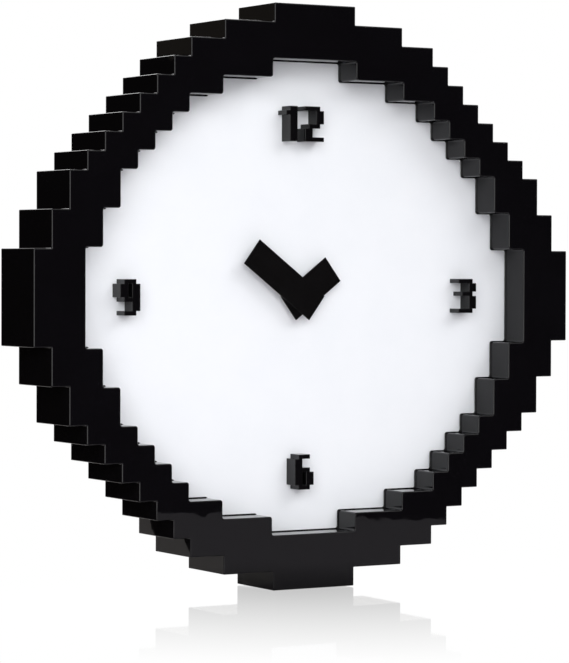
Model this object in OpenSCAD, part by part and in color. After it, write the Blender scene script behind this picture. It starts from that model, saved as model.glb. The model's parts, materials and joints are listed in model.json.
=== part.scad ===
// Wall clock with a stepped pixel outline: moulded frame, white dial, block numerals, two bar hands
// and a one-cell quartz movement. X runs right, Y into the wall, Z up. The clock stands on z = 0.

/* [Frame] */
// Side of one square step of the outline
pixel = 10; // [9:0.5:14]
// Single steps along each shoulder of the outline
shoulder_steps = 9; // [8:1:12]
// Width of the front face, in steps
face_steps = 3; // [3:1:4]
// Thickness of the outer and inner walls
wall = 2.5; // [1.8:0.1:3]
// Thickness of the front face
face_t = 2.5; // [1.8:0.1:4]
// Thickness of the stiffening ribs behind the front face
rib_t = 1.6; // [1:0.1:2.5]
// Number of stiffening ribs
rib_count = 16; // [8:8:32]
// How far the ribs stop short of the dial
rib_clear = 2; // [1:0.5:4]
// Extra room round the opening, beyond its steps
opening_ease = 0.8; // [0:0.1:1.5]
// Radius of the corners along the inner wall
corner_r = 1.3; // [0.6:0.1:2]
// How far the bead at the inner wall's end stands into the opening
bead_w = 0.5; // [0.4:0.1:1]
// Thickness of that bead
bead_t = 0.9; // [0.8:0.1:2]
// Open joint between the inner wall and the dial
shadow_gap = 1; // [0.5:0.1:1.5]
// Radius of the screw bosses
boss_r = 3.4; // [3:0.1:3.6]

/* [Dial] */
// Depth from the front face to the dial
dial_recess = 19; // [15:0.5:24]
// Thickness of the dial
dial_t = 1.6; // [1.5:0.1:3]
// Room round the bush, screws and pegs in the dial's holes
hole_clear = 0.2; // [0.1:0.05:0.4]

/* [Numerals] */
// Side of one square of a digit
digit_pixel = 2.35; // [1.8:0.05:3]
// How far the digits stand off the dial
digit_depth = 8.8; // [4:0.1:9]
// Empty squares between the two digits of 12
digit_gap = 2; // [1:1:3]
// From the opening's edge to 12 and 6
digit_margin_v = 23.4; // [12:0.1:40]
// From the opening's edge to 3 and 9
digit_margin_h = 24.9; // [12:0.1:40]
// How far 12 and 6 sit below their centred places
digit_drop = 0.8; // [0:0.1:2]
// Radius of the pegs that hold the digits
peg_r = 0.9; // [0.6:0.05:1]
// Radius of the staked peg heads
peg_head_r = 1.6; // [1.3:0.1:2]
// Height of the staked peg heads
peg_head_h = 0.7; // [0.4:0.1:1.2]

/* [Hands] */
// Width of both hands
hand_w = 16; // [12:0.5:20]
// Thickness of both hands
hand_t = 0.6; // [0.4:0.1:0.8]
// Minute hand, from the axis to its tip
minute_tip = 40; // [25:0.5:60]
// Hour hand, from the axis to its tip
hour_tip = 24.5; // [15:0.5:40]
// Both hands, from the axis to the tail
hand_tail = 10.5; // [8:0.5:14]
// Angle of the minute hand, clockwise from 12
minute_angle = 307; // [0:1:359]
// Angle of the hour hand, clockwise from 12
hour_angle = 53; // [0:1:359]
// From the dial to the back of the hour hand
hour_lift = 5.2; // [4.4:0.1:8]
// Free space between the hands
hand_gap = 1.2; // [0.8:0.1:2]
// Radius of the hour hand's brass collet
hour_collet_r = 3.6; // [3.2:0.1:5]
// Radius of the minute hand's brass collet
minute_collet_r = 2.6; // [2.2:0.1:4]
// Running space at the ends of the collets
collet_clear = 0.3; // [0.2:0.05:0.4]

/* [Bush and nut] */
// Outer radius of the brass bush
bush_r = 3.9; // [3.7:0.1:4.5]
// How far the bush stands in front of the dial
bush_reach = 3.2; // [2.9:0.1:3.4]
// Radius of the bush's flange inside the case
bush_flange_r = 5.2; // [4.8:0.1:6]
// Thickness of the bush's flange
bush_flange_t = 0.4; // [0.3:0.1:0.6]
// Width of the hex nut across its flats
nut_af = 11; // [10.5:0.5:14]
// Thickness of the hex nut
nut_t = 2.2; // [1.5:0.1:2.3]
// Radius of the washer under the nut
washer_r = 6; // [5.5:0.1:8]
// Thickness of the washer
washer_t = 0.5; // [0.3:0.1:0.6]
// Radius of the rubber gasket behind the dial
gasket_r = 11; // [8:0.5:16]
// Thickness of the rubber gasket
gasket_t = 0.6; // [0.4:0.1:1.5]

/* [Movement case] */
// Width of the gear room, and twice the height from the hands' axis to its top
case_w = 56; // [50:0.5:62]
// Depth of the case
case_d = 16; // [14.5:0.1:18]
// Thickness of the case walls and of its cover
case_wall = 1.6; // [1.2:0.1:1.8]
// Radius of the case's outer corners
case_r = 3; // [1:0.1:3.2]
// Radius of the finger notch below the battery
notch_r = 7; // [5:0.5:9]
// Thickness of the case under the battery
bay_floor_t = 1; // [0.8:0.1:1.4]
// Space between the case and the wall behind the clock
back_gap = 1.4; // [1.3:0.1:4]
// Space between the cover's locating lip and the case walls
lip_clear = 0.1; // [0.05:0.05:0.3]
// Depth of the cover's locating lip
lip_d = 0.8; // [0.5:0.1:1.2]
// Thickness of the cover's locating lip
lip_t = 1.2; // [0.8:0.1:1.6]

/* [Gear train] */
// Module of the cannon pinion and the motion wheel
motion_module = 0.4; // [0.38:0.01:0.42]
// Module of the centre, third, step and rotor meshes
train_module = 0.2; // [0.19:0.005:0.21]
// Module of the seconds wheel and step pinion
seconds_module = 0.24; // [0.23:0.005:0.25]
// Thickness of the wheels
wheel_t = 0.8; // [0.6:0.05:1]
// Face width of the pinions
pinion_t = 1; // [0.8:0.05:1.2]
// Distance between neighbouring gear planes
level_pitch = 1.75; // [1.6:0.05:1.8]
// Radius of the minute arbor in the hour tube
arbor_r = 1.5; // [1.3:0.05:1.6]
// Radius of the minute and motion arbors inside the case
shaft_r = 1; // [0.8:0.05:1.1]
// Radius of the fine pivots and train arbors
pivot_r = 0.5; // [0.4:0.02:0.55]
// Outer radius of the hour tube
tube_r = 2.5; // [2.3:0.05:2.7]
// Running space of a shaft in its hole
running = 0.06; // [0.03:0.01:0.1]
// Seating space of a pressed fit
seating = 0.02; // [0.01:0.01:0.03]
// Radius of the setting knob
knob_r = 4.6; // [3.5:0.1:6]
// Thickness of the setting knob
knob_t = 1.8; // [1.2:0.1:1.9]
// Space round the setting knob in its well
knob_clear = 0.5; // [0.3:0.1:0.8]
// Radius of the rotor's magnet
magnet_r = 3; // [2.5:0.1:3.4]
// Air space between the magnet and the stator
air_gap = 0.8; // [0.5:0.1:1]

/* [Electrics] */
// Radius of the AA cell
cell_r = 7.1; // [6.8:0.05:7.15]
// Length of the AA cell's can
cell_l = 49.2; // [44:0.1:56]
// Length of the AA cell's positive nub
nub_l = 1; // [0.8:0.1:1.2]
// Thickness of the battery contacts
contact_t = 0.4; // [0.3:0.05:0.5]
// Thickness of the circuit board
board_t = 1; // [0.6:0.1:1.6]
// Width of the circuit board
board_w = 10; // [8:0.5:10.5]
// Thickness of the stator and coil core
lamination_t = 0.8; // [0.6:0.1:1]
// Radius of the coil winding
winding_r = 3.9; // [3.4:0.1:4.2]

/* [Fasteners and hanger] */
// Radius of the screw shanks
screw_r = 1.25; // [1:0.05:1.5]
// Length of the screw shanks below the head
screw_l = 9; // [6:0.5:12]
// Radius of the screw heads
screw_head_r = 2.6; // [2.2:0.1:3]
// Height of the screw heads
screw_head_h = 1.5; // [1:0.1:1.6]
// Space round a screw shank in its pilot hole
pilot_clear = 0.05; // [0.02:0.01:0.08]
// Width of the hanger plate
hanger_w = 41; // [36:0.5:44]
// Height of the hanger plate
hanger_h = 15; // [14:0.5:16]
// Thickness of the hanger plate
hanger_t = 1.2; // [1:0.1:2]
// Radius of the keyhole's round end
keyhole_r = 4; // [3.5:0.1:4.2]
// Width of the keyhole's slot
keyhole_slot_w = 4; // [3:0.1:4.5]
// From the keyhole's round centre to the top of its slot
keyhole_rise = 7; // [6:0.1:8]

/* [Hidden] */
$fn = 64;
past = 1; // how far a cut runs past the face it opens
slack = 0.3; // free space between fixed pieces that pass each other
shim = 0.2; // height of the small lands that carry flat pieces

// Outline: half widths and heights in steps, from the middle of the top edge round to the side
opening_steps = shoulder_steps - face_steps;
dial_steps = opening_steps + 1;
function step_x(i) = i == 0 ? 2.5 : i == 1 ? 5.5 : 5.5 + i;
function step_z(i, n) = i <= n ? n + 6.5 - i : 6.5 - 2 * (i - n);
function quarter(n, grow) = [
  for (i = [0:n + 2], k = [0, 1])
    if (k == 0 || i < n + 2) [step_x(i) * pixel + grow, step_z(i + k, n) * pixel + grow]
];
function turned(list) = [for (i = [len(list) - 1:-1:0]) list[i]];
function flipped(list, sx, sz) = [for (p = list) [sx * p[0], sz * p[1]]];
function outline(n, grow = 0) = let (q = quarter(n, grow)) concat(
  q, turned(flipped(q, 1, -1)), flipped(q, -1, -1), turned(flipped(q, -1, 1))
);
half_w = step_x(shoulder_steps + 2) * pixel;
half_h = step_z(0, shoulder_steps) * pixel;
open_w = step_x(opening_steps + 2) * pixel + opening_ease;
open_h = step_z(0, opening_steps) * pixel + opening_ease;

// Depth: every plane follows from the front face
frame_d = dial_recess + dial_t + gasket_t + case_d + back_gap;
front_y = -frame_d / 2;
back_y = frame_d / 2;
dial_y = front_y + dial_recess;
dial_back_y = dial_y + dial_t;
case_y = dial_back_y + gasket_t;
case_back_y = case_y + case_d;
floor_y = case_y + case_wall;
cover_y = case_back_y - case_wall;
bead_y = dial_y - shadow_gap - bead_t;
axis_z = half_h;

// Screw bosses: one in the middle of each side and one in a corner step of each shoulder
boss_in = wall + (pixel - opening_ease - wall) / 2;
corner_step = 3;
corner_x = step_x(corner_step) * pixel + opening_ease + boss_in;
corner_z = step_z(corner_step + 1, opening_steps) * pixel + opening_ease + boss_in;
bosses = concat(
  [[0, open_h + boss_in], [0, -open_h - boss_in], [open_w + boss_in, 0], [-open_w - boss_in, 0]],
  [for (sx = [-1, 1], sz = [-1, 1]) [sx * corner_x, sz * corner_z]]
);

// Hanger plate: screwed to two tall bosses in the top column
hanger_edge = 1; // from the hanger plate to the frame's top wall, and from its bosses to its ends
hanger_z = half_h - wall - hanger_edge - hanger_h / 2;
hanger_y = back_y - screw_head_h - hanger_t - slack;
hanger_boss_x = hanger_w / 2 - boss_r - hanger_edge;

// Digits: rows of squares from the top, and the square corners that the pegs stand on
digit_one = [".XX", "XXX", ".XX", ".XX", ".XX", ".XX", ".XX", ".XX"];
digit_two = ["XXXX.", "...XX", "...XX", "...XX", ".XXX.", "XX...", "XX...", "XXXXX"];
digit_three = ["XXXX.", "...XX", "...XX", ".XXX.", "...XX", "...XX", "...XX", "XXXX."];
digit_six = [".XXX.", "XX...", "XX...", "XXXX.", "XX.XX", "XX.XX", "XX.XX", ".XXX."];
digit_nine = [".XXX.", "XX.XX", "XX.XX", "XX.XX", ".XXXX", "...XX", "...XX", ".XXX."];
pegs_one = [[2, 1.5], [2, 6.5]];
pegs_two = [[4, 2], [1, 6]];
pegs_three = [[4, 2], [4, 5.5]];
pegs_six = [[1, 2], [1, 5.5]];
pegs_nine = [[4, 2.5], [4, 6]];
function cols(d) = len(d[0]);
function run(row, c) = row[c] == "X" ? 1 + run(row, c + 1) : 0;
digit_h = len(digit_one) * digit_pixel;
twelve_w = (cols(digit_one) + digit_gap + cols(digit_two)) * digit_pixel;
twelve_z = open_h - digit_margin_v - digit_h / 2;
three_x = open_w - digit_margin_h - cols(digit_three) * digit_pixel / 2;
place_one = [-twelve_w / 2 + cols(digit_one) * digit_pixel / 2, twelve_z - digit_drop];
place_two = [twelve_w / 2 - cols(digit_two) * digit_pixel / 2, twelve_z - digit_drop];
place_three = [three_x, 0];
place_six = [0, -twelve_z - digit_drop];
place_nine = [-three_x, 0];
function peg_at(d, at, peg) = [
  at[0] + (peg[0] - cols(d) / 2) * digit_pixel,
  at[1] + (len(d) / 2 - peg[1]) * digit_pixel
];

// Hands
hour_back_y = dial_y - hour_lift;
hour_front_y = hour_back_y - hand_t;
minute_back_y = hour_front_y - hand_gap;
minute_front_y = minute_back_y - hand_t;
tube_tip_y = hour_front_y + hand_t / 4;
arbor_tip_y = minute_back_y;
bush_tip_y = dial_y - bush_reach;

// Gear planes inside the case, counted from its floor
first_level = 1.2;
function level(k) = floor_y + first_level + k * level_pitch;

// Teeth and places of the wheels, seen from the front and measured from the hands' axis
cannon_n = 12;
motion_n = 36;
motion_pinion_n = 10;
hour_n = 40;
pinion_n = 10;
centre_n = 80;
third_n = 75;
seconds_n = 50;
step_n = 60;
function apart(n1, n2, m) = (n1 + n2) * m / 2;
function toward(from, angle, distance) = from + distance * [cos(angle), sin(angle)];
motion_angle = 160;
third_angle = 40;
seconds_angle = 100;
step_angle = 160;
rotor_angle = 215;
motion_distance = apart(cannon_n, motion_n, motion_module);
hour_module = 2 * motion_distance / (motion_pinion_n + hour_n);
hands_at = [0, 0];
motion_at = toward(hands_at, motion_angle, motion_distance);
third_at = toward(hands_at, third_angle, apart(centre_n, pinion_n, train_module));
seconds_at = toward(third_at, seconds_angle, apart(third_n, pinion_n, train_module));
step_at = toward(seconds_at, step_angle, apart(seconds_n, pinion_n, seconds_module));
rotor_at = toward(step_at, rotor_angle, apart(step_n, pinion_n, train_module));

// Involute teeth with a short tip, thinned for free running
pressure_angle = 25;
tip_share = 0.75;
root_share = 1.05;
backlash_share = 0.16;
few_teeth = 20;
function involute(a) = tan(a) * 180 / PI - a;
function flank_angle(r, n, m) = let (
  base = n * m / 2 * cos(pressure_angle),
  a = r > base ? acos(base / r) : 0,
  thin = backlash_share / n * 180 / PI
) 90 / n + involute(pressure_angle) - involute(a) - thin;
function flank_radii(n, m) = let (
  root = m * (n / 2 - root_share),
  base = n * m / 2 * cos(pressure_angle),
  tip = m * (n / 2 + tip_share)
) n < few_teeth ? [root, max(root, base), n * m / 2, tip] : [root, tip];
function gear_points(n, m, phase) = let (radii = flank_radii(n, m), last = len(radii) - 1) [
  for (t = [0:n - 1], side = [-1, 1], k = [0:last])
    let (
      r = side < 0 ? radii[k] : radii[last - k],
      a = phase + t * 360 / n + side * flank_angle(r, n, m)
    ) r * [cos(a), sin(a)]
];

// Movement case: gears above the partition, and below it an open bay that takes its size from the cell
half_case = case_w / 2;
inner_case = half_case - case_wall;
gear_clear = 1.5; // free space below the centre wheel
centre_tip_r = train_module * (centre_n / 2 + tip_share);
gear_floor_z = -centre_tip_r - gear_clear;
bay_top_z = gear_floor_z - case_wall;
strip_room = contact_t + slack;
spring_l = 1.6; // pressed length of the negative contact's spring
cell_z = bay_top_z - strip_room / 2 - slack - cell_r;
cell_y = case_y + bay_floor_t + slack / 2 + cell_r;
bay_bottom_z = cell_z - cell_r - slack;
bay_inner = (2 * contact_t + spring_l + cell_l + nub_l + shim) / 2;
bay_half = bay_inner + case_wall;
bearing_r = 1.6;
bearing_h = 0.5;
pivot_depth = 0.8;
arbor_front_y = floor_y - pivot_depth;
arbor_back_y = cover_y + pivot_depth - running;
pivots = [third_at, seconds_at, step_at, rotor_at];

// Setting knob in its well at the back
knob_well_t = case_wall / 2;
knob_y = cover_y + knob_well_t + shim;
knob_ridges = 24;
motion_tip_y = knob_y + knob_t * 0.6;

// Stator, coil and board
stator_y = level(2) + pinion_t / 2 + slack;
rotor_hole_r = magnet_r + air_gap;
neck = 0.8;
arm_w = 3;
yoke_x0 = rotor_at[0] - rotor_hole_r - neck;
yoke_x1 = rotor_at[0] + rotor_hole_r + neck;
arm_low_z = rotor_at[1] - rotor_hole_r - neck - arm_w;
arm_high_z = rotor_at[1] + rotor_hole_r + neck + arm_w;
core_w = 3.4;
winding_edge = 2.2; // from the winding to the case wall
core_x = -inner_case + winding_r + winding_edge;
core_y = stator_y + lamination_t;
coil_y = core_y + lamination_t / 2;
bobbin_wall = 0.8;
flange_t = 0.8;
coil_low_z = arm_low_z + arm_w + slack;
coil_high_z = arm_high_z - arm_w - slack;
board_y = floor_y + shim + contact_t;
board_x1 = min(inner_case, bay_inner) - contact_t - slack;
board_x0 = board_x1 - board_w;
board_edge = 2; // from the board's posts and crystal to its ends
board_low_z = gear_floor_z + board_edge;
board_high_z = inner_case - board_edge;
post_r = 1.2;
post_x = board_x0 + post_r + slack;
chip_r = 2.8;
chip_h = 1.1;
chip_z = (board_low_z + board_high_z) / 2 + board_edge;
crystal_r = 1;
crystal_l = 6;
crystal_x = board_x1 - crystal_r - board_edge;
cell_x0 = -bay_inner + contact_t + spring_l;
cell_crimp = 0.6; // bevel round both ends of the can
nub_r = cell_r * 0.38;
spring_r = 3.6;
contact_h = 10;
strip_w = 2;
strip_y = floor_y + shim;
tab_w = 2;
tab_h = 2.5; // how far the contacts' tabs lie on the board
tab_x = board_x0 + board_w / 2;
lead_x = board_x1 - tab_w / 2;
lead_y = board_y + board_t;

// Corners of an outline: where each one lies and which way its two sides run
function side(from, to) = [sign(to[0] - from[0]), sign(to[1] - from[1])];
function corners(list) = [
  for (i = [0:len(list) - 1])
    let (
      from = side(list[i], list[(i + len(list) - 1) % len(list)]),
      to = side(list[i], list[(i + 1) % len(list)])
    ) [list[i], from + to, from[0] * to[1] - from[1] * to[0]]
];
case_top = [for (s = [-1, 1]) [[s * half_case, half_case], [-s, -1]]];
case_low = [for (s = [-1, 1]) [[s * bay_half, bay_bottom_z - case_wall], [-s, 1]]];

// The sliver between a square corner and its round: cut where it points out, added where it points in
module sliver(corner, r)
  difference() {
    translate(corner[0] + corner[1] * r / 2) square(r, center = true);
    translate(corner[0] + corner[1] * r) circle(r);
  }

module opening_shape(list)
  difference() {
    union() {
      polygon(list);
      for (c = corners(list)) if (c[2] < 0) sliver(c, corner_r);
    }
    for (c = corners(list)) if (c[2] > 0) sliver(c, corner_r);
  }

module along(y0, y1)
  translate([0, y1, axis_z])
    rotate([90, 0, 0])
      linear_extrude(y1 - y0) children();

// Solids drawn in the clock's face and carried along Y
module prism(points, y0, y1, at = [0, 0])
  translate([at[0], y1, axis_z + at[1]])
    rotate([90, 0, 0])
      linear_extrude(y1 - y0) polygon(points);

module rod(at, r, y0, y1)
  translate([at[0], y1, axis_z + at[1]])
    rotate([90, 0, 0])
      cylinder(r = r, h = y1 - y0);

module tube(at, r, bore, y0, y1)
  difference() {
    rod(at, r, y0, y1);
    rod(at, bore, y0 - past, y1 + past);
  }

module block(x0, x1, y0, y1, z0, z1)
  translate([x0, y0, axis_z + z0])
    cube([x1 - x0, y1 - y0, z1 - z0]);

module wheel(at, n, m, phase, k, t)
  prism(gear_points(n, m, phase), level(k) - t / 2, level(k) + t / 2, at);

// A pan-head screw with a cross recess, driven from the back
module screw(at, seat_y) {
  slot_w = screw_head_r * 0.35;
  slot_l = screw_head_r * 0.65;
  slot_d = screw_head_h * 0.6;
  head_y = seat_y + screw_head_h;
  rod(at, screw_r, seat_y - screw_l, seat_y);
  difference() {
    rod(at, screw_head_r, seat_y, head_y);
    block(at[0] - slot_w / 2, at[0] + slot_w / 2, head_y - slot_d, head_y + past,
      at[1] - slot_l, at[1] + slot_l);
    block(at[0] - slot_l, at[0] + slot_l, head_y - slot_d, head_y + past,
      at[1] - slot_w / 2, at[1] + slot_w / 2);
  }
}

module pilot(at, seat_y)
  rod(at, screw_r + pilot_clear, seat_y - screw_l - past, seat_y + past);

// Frame: one stepped ring, open at the back
module ring_shell()
  difference() {
    prism(outline(shoulder_steps), front_y, back_y);
    along(front_y - past, bead_y) opening_shape(outline(opening_steps, opening_ease));
    along(front_y, back_y + past) opening_shape(outline(opening_steps, opening_ease - bead_w));
    difference() {
      prism(outline(shoulder_steps, -wall), front_y + face_t, back_y + past);
      prism(outline(opening_steps, opening_ease + wall), front_y, dial_y - shadow_gap);
    }
  }

module ribs()
  intersection() {
    union()
      for (k = [0:rib_count - 1])
        translate([0, 0, axis_z])
          rotate([0, k * 360 / rib_count, 0])
            translate([open_h - 2 * pixel, front_y + face_t / 2, -rib_t / 2])
              cube([half_w, dial_y - rib_clear - front_y - face_t / 2, rib_t]);
    difference() {
      prism(outline(shoulder_steps, -wall / 2), front_y, back_y);
      prism(outline(opening_steps, opening_ease + wall / 2), front_y - past, back_y + past);
    }
  }

module frame()
  color("#17151a")
    difference() {
      union() {
        ring_shell();
        ribs();
        for (at = bosses) rod(at, boss_r, front_y + face_t / 2, dial_y);
        for (s = [-1, 1])
          rod([s * hanger_boss_x, hanger_z], boss_r, front_y + face_t / 2, hanger_y);
      }
      for (at = bosses) pilot(at, dial_back_y);
      for (s = [-1, 1]) pilot([s * hanger_boss_x, hanger_z], hanger_y + hanger_t);
    }

// Dial: seated on the bosses, drilled for the bush, the screws and the pegs
module peg_holes(d, at, pegs)
  for (peg = pegs)
    rod(peg_at(d, at, peg), peg_r + hole_clear, dial_y - past, dial_back_y + past);

module dial()
  color("#f4f5f8")
    difference() {
      prism(outline(dial_steps), dial_y, dial_back_y);
      rod(hands_at, bush_r + hole_clear, dial_y - past, dial_back_y + past);
      for (at = bosses) rod(at, screw_r + hole_clear, dial_y - past, dial_back_y + past);
      peg_holes(digit_one, place_one, pegs_one);
      peg_holes(digit_two, place_two, pegs_two);
      peg_holes(digit_three, place_three, pegs_three);
      peg_holes(digit_six, place_six, pegs_six);
      peg_holes(digit_nine, place_nine, pegs_nine);
    }

module dial_screws()
  color("#b9bbbf")
    for (at = bosses) screw(at, dial_back_y);

// Digit: one bar for each run of squares in a row, with staked pegs through the dial
module numeral(d, at, pegs)
  color("#141216") {
    for (row = [0:len(d) - 1], c = [0:cols(d) - 1])
      if (d[row][c] == "X" && (c == 0 || d[row][c - 1] != "X"))
        translate([
          at[0] + (c - cols(d) / 2) * digit_pixel,
          dial_y - digit_depth,
          axis_z + at[1] + (len(d) / 2 - row - 1) * digit_pixel
        ])
          cube([run(d[row], c) * digit_pixel, digit_depth, digit_pixel]);
    for (peg = pegs) {
      rod(peg_at(d, at, peg), peg_r, dial_y - digit_depth / 2, dial_back_y + peg_head_h / 2);
      rod(peg_at(d, at, peg), peg_head_r, dial_back_y, dial_back_y + peg_head_h);
    }
  }

module numeral_12_one() numeral(digit_one, place_one, pegs_one);
module numeral_12_two() numeral(digit_two, place_two, pegs_two);
module numeral_3() numeral(digit_three, place_three, pegs_three);
module numeral_6() numeral(digit_six, place_six, pegs_six);
module numeral_9() numeral(digit_nine, place_nine, pegs_nine);

// Hands: plain bars, pressed on through brass collets behind them
module bar(tip, angle, y0, y1)
  translate([0, 0, axis_z])
    rotate([0, angle, 0])
      translate([-hand_w / 2, y0, -hand_tail])
        cube([hand_w, y1 - y0, tip + hand_tail]);

module hour_hand()
  color("#151317")
    difference() {
      bar(hour_tip, hour_angle, hour_front_y, hour_back_y);
      rod(hands_at, tube_r + seating, hour_front_y - past, hour_back_y + past);
    }

module hour_collet()
  color("#c9a552")
    tube(hands_at, hour_collet_r, tube_r + seating, hour_back_y, bush_tip_y - collet_clear);

module minute_hand()
  color("#151317")
    bar(minute_tip, minute_angle, minute_front_y, minute_back_y);

module minute_collet()
  color("#c9a552")
    tube(hands_at, minute_collet_r, arbor_r + seating, minute_back_y, hour_front_y - collet_clear);

// Bush, nut, washer and gasket: they clamp the movement to the dial
module bush()
  color("#c9a552")
    difference() {
      union() {
        rod(hands_at, bush_r, bush_tip_y, floor_y + bush_flange_t / 2);
        rod(hands_at, bush_flange_r, floor_y, floor_y + bush_flange_t);
      }
      rod(hands_at, tube_r + running, bush_tip_y - past, floor_y + bush_flange_t + past);
    }

module hex_nut()
  color("#c9a552")
    difference() {
      translate([0, dial_y - washer_t, axis_z])
        rotate([90, 0, 0])
          cylinder(d = nut_af / cos(30), h = nut_t, $fn = 6);
      rod(hands_at, bush_r + seating, dial_y - washer_t - nut_t - past, dial_y);
    }

module front_washer()
  color("#c0c2c6")
    tube(hands_at, washer_r, bush_r + hole_clear, dial_y - washer_t, dial_y);

module rubber_gasket()
  color("#232225")
    tube(hands_at, gasket_r, bush_r + hole_clear, dial_back_y, case_y);

// Case: a tub with a gear room above and a battery bay below
module movement_case()
  color("#1d1c1f")
    difference() {
      union() {
        difference() {
          union() {
            block(-half_case, half_case, case_y, case_back_y, bay_top_z, half_case);
            block(-bay_half, bay_half, case_y, case_back_y, bay_bottom_z - case_wall, gear_floor_z);
          }
          block(-inner_case, inner_case, floor_y, case_back_y + past, gear_floor_z, inner_case);
          block(-bay_inner, bay_inner, case_y + bay_floor_t, case_back_y + past,
            bay_bottom_z, bay_top_z);
          block(-half_case - past, half_case + past, cover_y, case_back_y + past,
            gear_floor_z - case_wall / 2, half_case + past);
        }
        for (at = concat(pivots, [motion_at]))
          rod(at, bearing_r, floor_y - past / 2, floor_y + bearing_h);
        for (z = [board_low_z + board_edge, board_high_z - board_edge])
          rod([post_x, z], post_r, floor_y - past / 2, board_y);
      }
      rod(hands_at, bush_r + seating, case_y - past, floor_y + past);
      for (at = concat(pivots, [motion_at]))
        rod(at, pivot_r + running, arbor_front_y - running, floor_y + bearing_h + past);
      block(lead_x - tab_w / 2 - running, lead_x + tab_w / 2 + running, lead_y - running,
        lead_y + contact_t + running, bay_top_z - past, gear_floor_z + past);
      block(tab_x - tab_w / 2 - running, tab_x + tab_w / 2 + running, strip_y - running,
        strip_y + contact_t + running, bay_top_z - past, gear_floor_z + past);
      along(case_y - past, case_back_y + past)
        for (c = concat(case_top, case_low)) sliver(c, case_r);
      translate([0, case_back_y, axis_z + bay_bottom_z - case_wall - past])
        cylinder(r = notch_r, h = case_wall + past + slack);
    }

module movement_cover()
  color("#1d1c1f")
    difference() {
      union() {
        block(-half_case, half_case, cover_y, case_back_y,
          gear_floor_z - case_wall / 2 + lip_clear, half_case);
        difference() {
          block(-inner_case + lip_clear, inner_case - lip_clear, cover_y - lip_d, cover_y + case_wall / 2,
            gear_floor_z + lip_clear, inner_case - lip_clear);
          block(-inner_case + lip_clear + lip_t, inner_case - lip_clear - lip_t,
            cover_y - lip_d - past, cover_y,
            gear_floor_z + lip_clear + lip_t, inner_case - lip_clear - lip_t);
        }
        for (at = concat(pivots, [hands_at]))
          rod(at, bearing_r, cover_y - bearing_h, cover_y + case_wall / 2);
      }
      for (at = concat(pivots, [hands_at]))
        rod(at, pivot_r + running, cover_y - bearing_h - past, arbor_back_y + running);
      rod(motion_at, shaft_r + running, cover_y - past, case_back_y);
      rod(motion_at, knob_r + knob_clear, cover_y + knob_well_t, case_back_y + past);
      along(cover_y - lip_d - past, case_back_y + past)
        for (c = case_top) sliver(c, case_r);
    }

// Motion work: cannon pinion, motion wheel and hour wheel
module minute_arbor()
  color("#d8b45c") {
    rod(hands_at, arbor_r, arbor_tip_y, level(1));
    wheel(hands_at, cannon_n, motion_module, motion_angle, 1, pinion_t);
    rod(hands_at, shaft_r, level(1), cover_y - bearing_h - collet_clear);
    rod(hands_at, pivot_r, cover_y - bearing_h - past, arbor_back_y);
  }

module hour_wheel()
  color("#e9e4d6")
    difference() {
      union() {
        wheel(hands_at, hour_n, hour_module, motion_angle, 0, wheel_t);
        rod(hands_at, tube_r, tube_tip_y, level(0));
      }
      rod(hands_at, arbor_r + running, tube_tip_y - past, level(0) + wheel_t);
    }

module motion_wheel()
  color("#e9e4d6") {
    rod(motion_at, pivot_r, arbor_front_y, floor_y + bearing_h + past);
    rod(motion_at, shaft_r, floor_y + bearing_h + collet_clear / 2, motion_tip_y);
    wheel(motion_at, motion_pinion_n, hour_module, motion_angle + 180 + 180 / motion_pinion_n, 0, pinion_t);
    wheel(motion_at, motion_n, motion_module, motion_angle + 180 + 180 / motion_n, 1, wheel_t);
  }

module setting_knob()
  color("#d9dade")
    difference() {
      prism(gear_points(knob_ridges, 2 * knob_r / (knob_ridges + 2), 0), knob_y, knob_y + knob_t, motion_at);
      rod(motion_at, shaft_r + seating, knob_y - past, motion_tip_y);
    }

// Going train: from the rotor down to the centre wheel, which slips on the minute arbor when set
module centre_wheel()
  color("#d8b45c")
    difference() {
      union() {
        wheel(hands_at, centre_n, train_module, third_angle, 2, wheel_t);
        rod(hands_at, 2 * shaft_r, level(1) + pinion_t / 2 + collet_clear / 2, level(2) + wheel_t);
      }
      rod(hands_at, shaft_r + running, level(1), level(2) + 2 * wheel_t);
    }

module train_wheel(at, wheel_n, wheel_m, wheel_phase, wheel_k, pinion_m, pinion_phase) {
  rod(at, pivot_r, arbor_front_y, arbor_back_y);
  rod(at, 2 * pivot_r, level(wheel_k - 1) + pinion_t / 2, level(wheel_k) + wheel_t);
  wheel(at, wheel_n, wheel_m, wheel_phase, wheel_k, wheel_t);
  wheel(at, pinion_n, pinion_m, pinion_phase, wheel_k - 1, pinion_t);
}

module third_wheel()
  color("#e9e4d6")
    train_wheel(third_at, third_n, train_module, seconds_angle, 3,
      train_module, third_angle + 180 + 180 / pinion_n);

module seconds_wheel()
  color("#e9e4d6")
    train_wheel(seconds_at, seconds_n, seconds_module, step_angle, 4,
      train_module, seconds_angle + 180 + 180 / pinion_n);

module step_wheel()
  color("#e9e4d6")
    train_wheel(step_at, step_n, train_module, rotor_angle, 5,
      seconds_module, step_angle + 180 + 180 / pinion_n);

module rotor()
  color("#8d8f94") {
    rod(rotor_at, pivot_r, arbor_front_y, arbor_back_y);
    rod(rotor_at, magnet_r, stator_y - lamination_t, stator_y + 2 * lamination_t);
    wheel(rotor_at, pinion_n, train_module, rotor_angle + 180 + 180 / pinion_n, 5, pinion_t);
  }

// Stepping motor: stator with a rotor hole, and the coil on its core
module stator()
  color("#9a9ca1")
    difference() {
      union() {
        block(yoke_x0, yoke_x1, stator_y, core_y, arm_low_z, arm_high_z);
        for (z = [arm_low_z, arm_high_z - arm_w])
          block(core_x - core_w / 2, yoke_x0 + past, stator_y, core_y, z, z + arm_w);
      }
      rod(rotor_at, rotor_hole_r, stator_y - past, stator_y + lamination_t + past);
    }

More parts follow.
